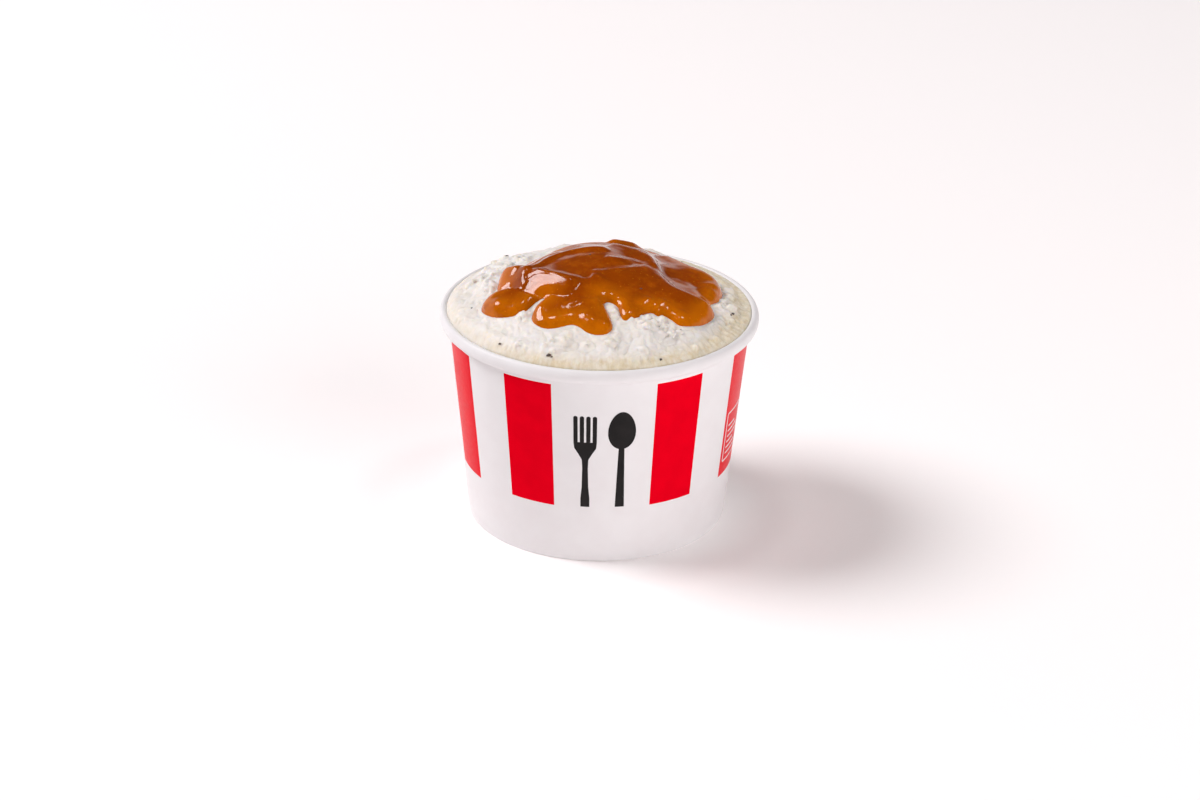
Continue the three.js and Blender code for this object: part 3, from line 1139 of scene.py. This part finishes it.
def makeGrain(surface, x, y, half):
    top = surface.ray_cast(Vector((x * mm, y * mm, 0.2)), Vector((0, 0, -1)))[0]
    bpy.ops.mesh.primitive_ico_sphere_add(subdivisions=3, radius=half * mm)
    grain = added("grain")
    shape = Vector(pepper["shape"])
    middle = top - Vector((0, 0, half * (shape.z - 2 * pepper["seen"]) * mm))
    places = []
    for vertex in grain.data.vertices:
        knob = noise.noise(vertex.co / (half * mm) * pepper["knobScale"] + Vector((x, y, 0)))
        places.append(vertex.co * shape * (1 + pepper["knobs"] * knob) + middle)
    setPlaces(grain, places)
    return grain


def makePepper(mash, pool):
    mashSurface = surfaceOf(mash)
    poolSurface = surfaceOf(pool)
    grains = [makeGrain(mashSurface, *grain) for grain in pepper["onMash"]]
    grains += [makeGrain(poolSurface, *grain) for grain in pepper["onGravy"]]
    scattered = grains[0]
    joinInto(scattered, grains[1:])
    scattered.name = "pepper"
    material, shader = newMaterial("pepperHusk")
    mottle = noiseOn(material, objectPlace(material), 2400)
    connect(material, mixColours(material, mottle, *pepper["husk"]), shader.inputs["Base Color"])
    shader.inputs["Roughness"].default_value = 0.5
    scattered.data.materials.append(material)
    smoothShade(scattered)
    standsFor(scattered)


makePepper(heapedMash, pouredGravy)
print("pepper scattered")


# stage: floor, lights and camera

stage = {
    "floorRadius": 6.0,
    "floorColour": (0.97, 0.965, 0.955, 1),
    "floorGlow": 0.11,
    "glowTint": (1, 0.78, 0.82, 1),
    "horizonSky": 0.72,                # the sky is bright along the horizon and dim overhead
    "overheadSky": 0.03,
    "skyFade": (0.11, 0.26),           # sines of the heights between which it dims
    "skyLift": 0.42,                   # how much higher up it stays bright at the left rear
    "skyLeft": (-0.2, -0.7),
    "skyRear": (-0.1, 0.3),
    "skyTint": (1, 0.89, 0.88, 1),
    # lamps: the way towards it, distance, size, watts, tint
    "key": ((-0.62, 0.15, 0.67), 3.0, 1.55, 74.0, (1, 0.97, 0.99)),
    "fill": ((0.75, -0.85, 0.35), 1.6, 1.6, 17.5, (1, 0.95, 0.95)),
    "sparks": (                        # two small ones overhead, for glints
        ((-0.15, 0.05, 1), 3.0, 0.52, 8.0, (1, 1, 1)),
        ((0.37, 0, 0.9), 3.0, 0.52, 8.0, (1, 1, 1)),
    ),
}


def makeFloor():
    bpy.ops.mesh.primitive_circle_add(vertices=96, radius=stage["floorRadius"], fill_type="NGON")
    floor = added("floor")
    material, shader = newMaterial("floorWhite")
    shader.inputs["Base Color"].default_value = stage["floorColour"]
    shader.inputs["Emission Color"].default_value = stage["glowTint"]
    shader.inputs["Emission Strength"].default_value = stage["floorGlow"]
    shader.inputs["Roughness"].default_value = 0.9
    shader.inputs["Specular IOR Level"].default_value = 0.1
    floor.data.materials.append(material)


def makeLight(name, towards, distance, size, watts, tint):
    bpy.ops.object.light_add(type="AREA")
    lamp = bpy.context.active_object
    lamp.name = name
    lamp.data.shape = "DISK"
    lamp.data.size = size
    lamp.data.energy = watts
    lamp.data.color = tint
    direction = Vector(towards).normalized()
    lamp.location = direction * distance
    lamp.rotation_euler = direction.to_track_quat("Z", "Y").to_euler()
    return lamp


def makeSky():
    world = bpy.data.worlds.new("studio")
    world.use_nodes = True
    background = world.node_tree.nodes["Background"]
    background.inputs["Color"].default_value = stage["skyTint"]
    apart = addNode(world, "ShaderNodeSeparateXYZ")
    connect(world, addNode(world, "ShaderNodeTexCoord").outputs["Generated"], apart.inputs[0])
    leftward = remap(world, apart.outputs[0], *stage["skyLeft"])
    rearward = remap(world, apart.outputs[1], *stage["skyRear"])
    lifted = math2(world, "MULTIPLY", math2(world, "MULTIPLY", leftward, rearward), stage["skyLift"])
    height = math2(world, "SUBTRACT", apart.outputs[2], lifted)
    strength = remap(world, height, *stage["skyFade"], stage["horizonSky"], stage["overheadSky"])
    connect(world, strength, background.inputs["Strength"])
    bpy.context.scene.world = world


def makeStage():
    makeFloor()
    makeLight("key", *stage["key"])
    fill = makeLight("fill", *stage["fill"])
    fill.visible_glossy = False
    for spark in stage["sparks"]:
        makeLight("spark", *spark)
    makeSky()
    bpy.context.scene.view_settings.view_transform = "Standard"


view = {
    "place": (-0.0387, -0.9054, 0.4568),
    "down": 24.93,             # degrees below level
    "turn": -2.49,             # degrees about +Z from looking along +Y
    "roll": 0.94,
    "lens": 96.56,
}


def makeCamera():
    bpy.ops.object.camera_add()
    camera = bpy.context.active_object
    camera.name = "camera"
    camera.data.sensor_width = 36
    camera.data.lens = view["lens"]
    camera.data.clip_start = 0.05
    turned = Matrix.Rotation(math.radians(view["turn"]), 4, "Z")
    tilted = Matrix.Rotation(math.radians(90 - view["down"]), 4, "X")
    rolled = Matrix.Rotation(math.radians(view["roll"]), 4, "Z")
    camera.matrix_world = Matrix.Translation(view["place"]) @ turned @ tilted @ rolled
    bpy.context.scene.camera = camera


makeStage()
makeCamera()
print("stage set")
